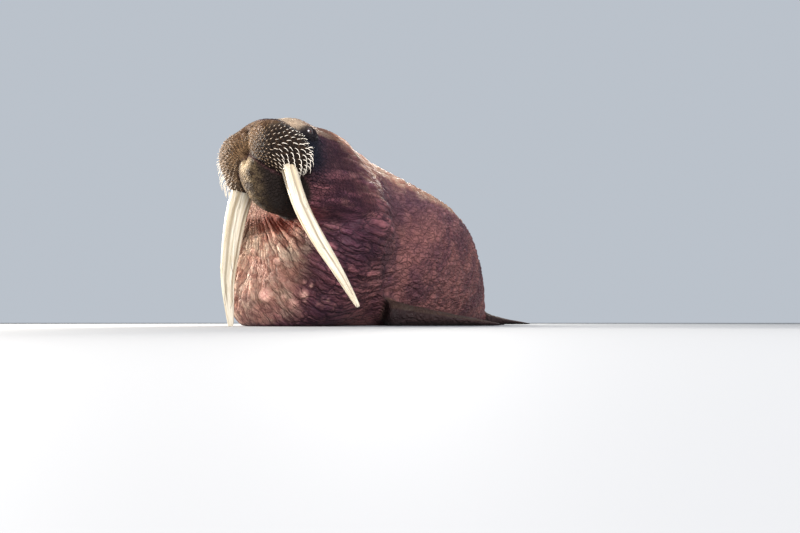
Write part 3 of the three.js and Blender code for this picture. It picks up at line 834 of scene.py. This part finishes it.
def bent_bristles(roots, outwards, lies, lengths, radii):
    """The vertices and faces of tapered tubes that leave their roots outwards and bend along their lies."""
    count = len(roots)
    t = np.linspace(0, 1, WHISKER_RINGS)
    leave = outwards * 0.45 * lengths[:, None]
    lie = lies * 0.78 * lengths[:, None]
    sunk = -WHISKER_SUNK * outwards
    centres = (
        roots[:, None]
        + ((1 - t) ** 2)[None, :, None] * sunk[:, None]
        + (2 * t * (1 - t))[None, :, None] * leave[:, None]
        + (t**2)[None, :, None] * (leave + lie)[:, None]
    )
    tangents = np.gradient(centres, axis=1)
    tangents /= np.linalg.norm(tangents, axis=2, keepdims=True)
    beside = np.cross(outwards, lies)
    beside /= np.linalg.norm(beside, axis=1, keepdims=True)
    first = np.repeat(beside[:, None], WHISKER_RINGS, axis=1)
    second = np.cross(tangents, first)
    angles = np.linspace(0, 2 * np.pi, WHISKER_SIDES, endpoint=False)
    thick = radii[:, None] * np.interp(t, [0, 0.55, 0.9, 1], [1, 0.85, 0.5, 0.16])[None]
    cosine = np.cos(angles)[None, None, :, None]
    sine = np.sin(angles)[None, None, :, None]
    spokes = cosine * first[:, :, None] + sine * second[:, :, None]
    vertices = (centres[:, :, None] + thick[:, :, None, None] * spokes).reshape(-1, 3)
    faces = []
    for i in range(count):
        base = i * WHISKER_RINGS * WHISKER_SIDES
        for r in range(WHISKER_RINGS - 1):
            for s in range(WHISKER_SIDES):
                a = base + r * WHISKER_SIDES + s
                b = base + r * WHISKER_SIDES + (s + 1) % WHISKER_SIDES
                faces.append((a, b, b + WHISKER_SIDES, a + WHISKER_SIDES))
        faces.append(tuple(base + s for s in reversed(range(WHISKER_SIDES))))
        last = base + (WHISKER_RINGS - 1) * WHISKER_SIDES
        faces.append(tuple(last + s for s in range(WHISKER_SIDES)))
    return vertices, faces


def bake_map(mesh, centres):
    """The map for the bake: every whisker is a small patch at its root's place on the unrolled pad."""
    per = WHISKER_RINGS * WHISKER_SIDES
    corners = np.empty(len(mesh.loops), dtype=np.int64)
    mesh.loops.foreach_get("vertex_index", corners)
    which, inner = corners // per, corners % per
    round_it, along_it = inner % WHISKER_SIDES / WHISKER_SIDES, inner // WHISKER_SIDES / WHISKER_RINGS
    inside = np.stack([round_it, along_it], axis=1)
    layer = mesh.uv_layers.new(name="OFBake")
    layer.data.foreach_set("uv", (centres[which] + PATCH * (inside - 0.5)).astype(np.float32).ravel())


def whiskers(name):
    """All the whiskers of one pad, longer further out and lower down."""
    roots, outwards, lies, lengths, radii, paleness = [], [], [], [], [], []
    leftwards = to_world @ Vector((-1, 0, 0))
    for place, onward, out_there, height, _ in whisker_places[name]:
        hit, normal, _, _ = skin_surface.find_nearest(place)
        round_the_side = min(max((out_there - 0.08) / 0.09, 0), 1)
        low = min(max((0.02 - height) / 0.10, 0), 1)
        longer = round_the_side * low**1.3
        lie = onward * (1 - longer) + longer * (0.8 * leftwards + Vector((0, 0, -1.3)))
        lie = (lie - 0.8 * lie.dot(normal) * normal).normalized()
        leave = onward - 0.8 * leftwards
        roots.append(hit)
        outwards.append((normal + 0.5 * (1 - longer) * lie + 0.9 * longer * leave).normalized())
        lies.append(lie)
        full = WHISKER_LONG * (1 if name == "left" else RIGHT_LONGER)
        lengths.append((WHISKER_SHORT + (full - WHISKER_SHORT) * longer**1.2) * draw.uniform(0.85, 1.15))
        radii.append(WHISKER_ROOT * (1 + 0.2 * round_the_side + 0.3 * longer) * draw.uniform(0.85, 1.1))
        paleness.append(min(max(1.5 * round_the_side + 0.5 * low - 0.35, 0), 1))
    arrays = [np.array(values) for values in (roots, outwards, lies, lengths, radii)]
    vertices, faces = bent_bristles(*arrays)
    mesh = bpy.data.meshes.new("whiskers_" + name)
    mesh.from_pydata(vertices.tolist(), [], faces)
    mesh.update()
    mesh.shade_smooth()
    paint_layer(mesh, "pale", np.repeat(paleness, WHISKER_RINGS * WHISKER_SIDES))
    bake_map(mesh, np.array([found[-1] for found in whisker_places[name]]))
    piece = bpy.data.objects.new("whiskers_" + name, mesh)
    bpy.context.collection.objects.link(piece)
    return piece


def horn_finish():
    """Pale horn: worn tan stubs by the lip and cream quills round the side."""
    material, start, shader = new_finish("whisker horn")
    place = object_place(start)
    stub = over(ramped(clouds(start, place, 160.0), 0.35, 0.65), paint(136, 102, 70), paint(178, 144, 104))
    colour = over(zone(start, "pale"), stub, paint(246, 236, 218))
    feed(colour, shader, "Base Color")
    shader.inputs["Roughness"].default_value = 0.45
    shader.inputs["Specular IOR Level"].default_value = 0.08
    return material


horn = horn_finish()
for name in SIDES:
    bristles = whiskers(name)
    bristles.data.materials.append(horn)
    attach(bristles, "root")

# The tusks
# Two long upper teeth of ivory, flattened and slightly curved, with a few shallow flutes, fine cracks
# along their length and worn, rounded tips that reach down to the floor.
TUSK_SMOOTH = 3
TUSK_STEPS = 60
TUSK_FLUTES = 5
FLUTE_DEEP = 0.0026
FLUTE_TOP = 0.55
TUSK_LINES = {
    "left": [
        (100, 20, 25), (105, 8, -62), (160, -10, -222), (226, -22, -335), (289, -22, -438), (340, -9, -548)
    ],
    "right": [
        (84, 30, 25), (94, 20, -62), (148, 8, -180), (187, 2, -300), (226, 6, -424), (255, 26, -590)
    ],
}


def along_tusk(name, side, points):
    """The places of points on a straightened tusk: across, across the other way, and along."""
    line = np.array([head @ (Vector((side * x, y, z)) / 1000) for x, y, z in TUSK_LINES[name]])
    knots = np.linspace(0, 1, len(line))
    fine = np.linspace(0, 1, TUSK_STEPS)
    line = np.stack([np.interp(fine, knots, line[:, axis]) for axis in range(3)], axis=1)
    nearest = np.argmin(np.linalg.norm(points[:, None] - line[None], axis=2), axis=1)
    along = np.gradient(line, axis=0)
    along /= np.linalg.norm(along, axis=1, keepdims=True)
    off = points - line[nearest]
    forward_out = np.array(to_world @ Vector((side, -1, 0)).normalized())
    broad = forward_out - (along @ forward_out)[:, None] * along
    broad /= np.linalg.norm(broad, axis=1, keepdims=True)
    narrow = np.cross(along, broad)
    u = np.sum(off * broad[nearest], axis=1)
    v = np.sum(off * narrow[nearest], axis=1)
    lengths = np.linalg.norm(np.diff(line, axis=0), axis=1)
    w = np.concatenate([[0], np.cumsum(lengths)])[nearest] + np.sum(off * along[nearest], axis=1)
    return np.stack([u, v, w], axis=1)


def ivory_finish():
    """Worn ivory: cream, with flutes darkened as painted shade, hair cracks along the tooth and a stained
    root.
    """
    material, start, shader = new_finish("tusk ivory")
    place = painted_place(start, "tusk_place")
    streaked = start.node("ShaderNodeMapping", {}, {"Vector": place, "Scale": (1.0, 1.0, 0.05)})
    streaks = clouds(start, streaked, 120.0, 4.0, 0.65)
    broad_streaks = clouds(start, streaked, 38.0, 3.0, 0.6)
    split_lines = cracks(start, streaked, 75.0)
    stain = clouds(start, place, 9.0, 4.0)
    colour = over(ramped(streaks, 0.36, 0.66), paint(198, 186, 160), paint(224, 216, 198))
    colour = over(ramped(broad_streaks, 0.50, 0.70) * 0.55, colour, paint(190, 164, 118))
    colour = over(ramped(stain, 0.55, 0.75) * 0.4, colour, paint(206, 180, 132))
    # Painted shade in the flutes.
    colour = over((zone(start, "groove") * 0.8).clamped(), colour, paint(140, 124, 98))
    colour = over((1 - ramped(split_lines, 0.0, 0.022)) * 0.6, colour, paint(96, 82, 68))
    feed(colour, shader, "Base Color")
    feed(0.30 + 0.2 * streaks, shader, "Roughness")
    height = 0.0010 * streaks + 0.0006 * ramped(split_lines, 0.0, 0.03)
    feed(bumped(height, 0.7), shader, "Normal")
    shader.inputs["Coat Weight"].default_value = 0.1
    shader.inputs["Specular IOR Level"].default_value = 0.35
    return material


ivory = ivory_finish()
for name, side in SIDES.items():
    tusk_form = bmesh.new()
    add_merged_copy(tusk_form, "tusk_" + name, 0)
    tusk = new_piece("ivory_tusk_" + name, tusk_form)
    rounding = tusk.modifiers.new("rounding", "SUBSURF")
    rounding.levels = rounding.render_levels = TUSK_SMOOTH
    rounded = applied(tusk)
    tusk_form = bmesh.new()
    tusk_form.from_mesh(rounded)
    bpy.data.meshes.remove(rounded)
    tusk_form.normal_update()
    tusk_points = points_of(tusk_form)
    straight = along_tusk(name, side, tusk_points)
    turned = np.arctan2(1.4 * straight[:, 1], straight[:, 0])
    wander = 0.5 * np.sin(11 * straight[:, 2]) + 0.3 * np.sin(23 * straight[:, 2] + side)
    groove = ramp(np.cos(TUSK_FLUTES * turned + wander), 0.35, 1.0)
    groove *= 1 - ramp(tusk_points[:, 2], FLUTE_TOP, FLUTE_TOP + 0.05)
    groove *= ramp(tusk_points[:, 2], 0.03, 0.12)
    for vertex, depth in zip(tusk_form.verts, groove):
        vertex.co -= float(FLUTE_DEEP * depth) * vertex.normal
    tusk.data.clear_geometry()
    tusk_form.to_mesh(tusk.data)
    tusk_form.free()
    tusk.data.shade_smooth()
    # The flute mask also darkens the flutes in the material, as painted shade.
    paint_layer(tusk.data, "groove", groove)
    paint_layer(tusk.data, "tusk_place", straight)
    tusk.data.materials.append(ivory)
    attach(tusk, "root")
    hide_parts("tusk_" + name)

# The eyes
# Small dark eyeballs, wet and set deep between the lids.
EYE_RADIUS = 0.0168


def eye_finish():
    """A brown eye so dark that it looks black, under a wet film."""
    material, start, shader = new_finish("wet eye")
    place = object_place(start)
    colour = over(ramped(clouds(start, place, 120.0), 0.4, 0.7), paint(26, 14, 12), paint(58, 30, 24))
    feed(colour, shader, "Base Color")
    shader.inputs["Roughness"].default_value = 0.06
    shader.inputs["Coat Weight"].default_value = 1.0
    return material


eye_gloss = eye_finish()
for name, side in SIDES.items():
    ball = bmesh.new()
    middle = Matrix.Translation(head @ Vector((side * EYE.x, EYE.y, EYE.z)))
    bmesh.ops.create_uvsphere(ball, u_segments=32, v_segments=20, radius=EYE_RADIUS, matrix=middle)
    eye = new_piece("eyeball_" + name, ball)
    eye.data.materials.append(eye_gloss)
    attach(eye, "root")
    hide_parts("eye_" + name)

# The studio
# A plain pale floor that runs to the horizon, soft lamps and a camera close to the floor.
FLOOR_HALF = 40
CAMERA_PLACE = (1.302, -2.382, 0.0137)
CAMERA_TURN = math.radians(31)
CAMERA_RISE = math.radians(8)
LENS = 18


def plain_finish(name, colour, roughness):
    material, _, shader = new_finish(name)
    shader.inputs["Base Color"].default_value = (*colour, 1)
    shader.inputs["Roughness"].default_value = roughness
    return material


floor_form = bmesh.new()
bmesh.ops.create_grid(floor_form, x_segments=1, y_segments=1, size=FLOOR_HALF)
floor = new_piece("floor", floor_form)
floor.data.materials.append(plain_finish("pale floor", paint(146, 148, 150), 0.8))

world = bpy.data.worlds.new("studio air")
world.use_nodes = True
air = world.node_tree.nodes["Background"]
air.inputs["Color"].default_value = (*paint(206, 214, 224), 1)
air.inputs["Strength"].default_value = 0.8
bpy.context.scene.world = world


def lamp(name, place, target, size, power, colour):
    """A round soft lamp that faces its target."""
    light = bpy.data.lights.new(name, "AREA")
    light.shape = "DISK"
    light.size = size
    light.energy = power
    light.color = colour
    stand = bpy.data.objects.new(name, light)
    stand.location = place
    stand.rotation_euler = (Vector(target) - Vector(place)).to_track_quat("-Z", "Y").to_euler()
    bpy.context.collection.objects.link(stand)


lamp("key", (-4.1, -3.3, 1.8), (0.1, -1.0, 0.35), 1.4, 760, (1.0, 0.93, 0.84))
lamp("back", (-1.8, 2.4, 3.2), (0.0, -0.6, 0.5), 1.8, 460, (1.0, 0.95, 0.88))
lamp("fill", (3.4, -3.8, 1.6), (0.1, -0.8, 0.3), 2.6, 260, (0.98, 0.96, 1.0))
bpy.context.scene.view_settings.view_transform = "Standard"

camera_data = bpy.data.cameras.new("camera")
camera_data.lens = LENS
camera_data.sensor_width = 36
camera_data.clip_start = 0.005
camera = bpy.data.objects.new("camera", camera_data)
camera.location = CAMERA_PLACE
camera.rotation_euler = (math.radians(90) + CAMERA_RISE, 0, CAMERA_TURN)
bpy.context.collection.objects.link(camera)
bpy.context.scene.camera = camera
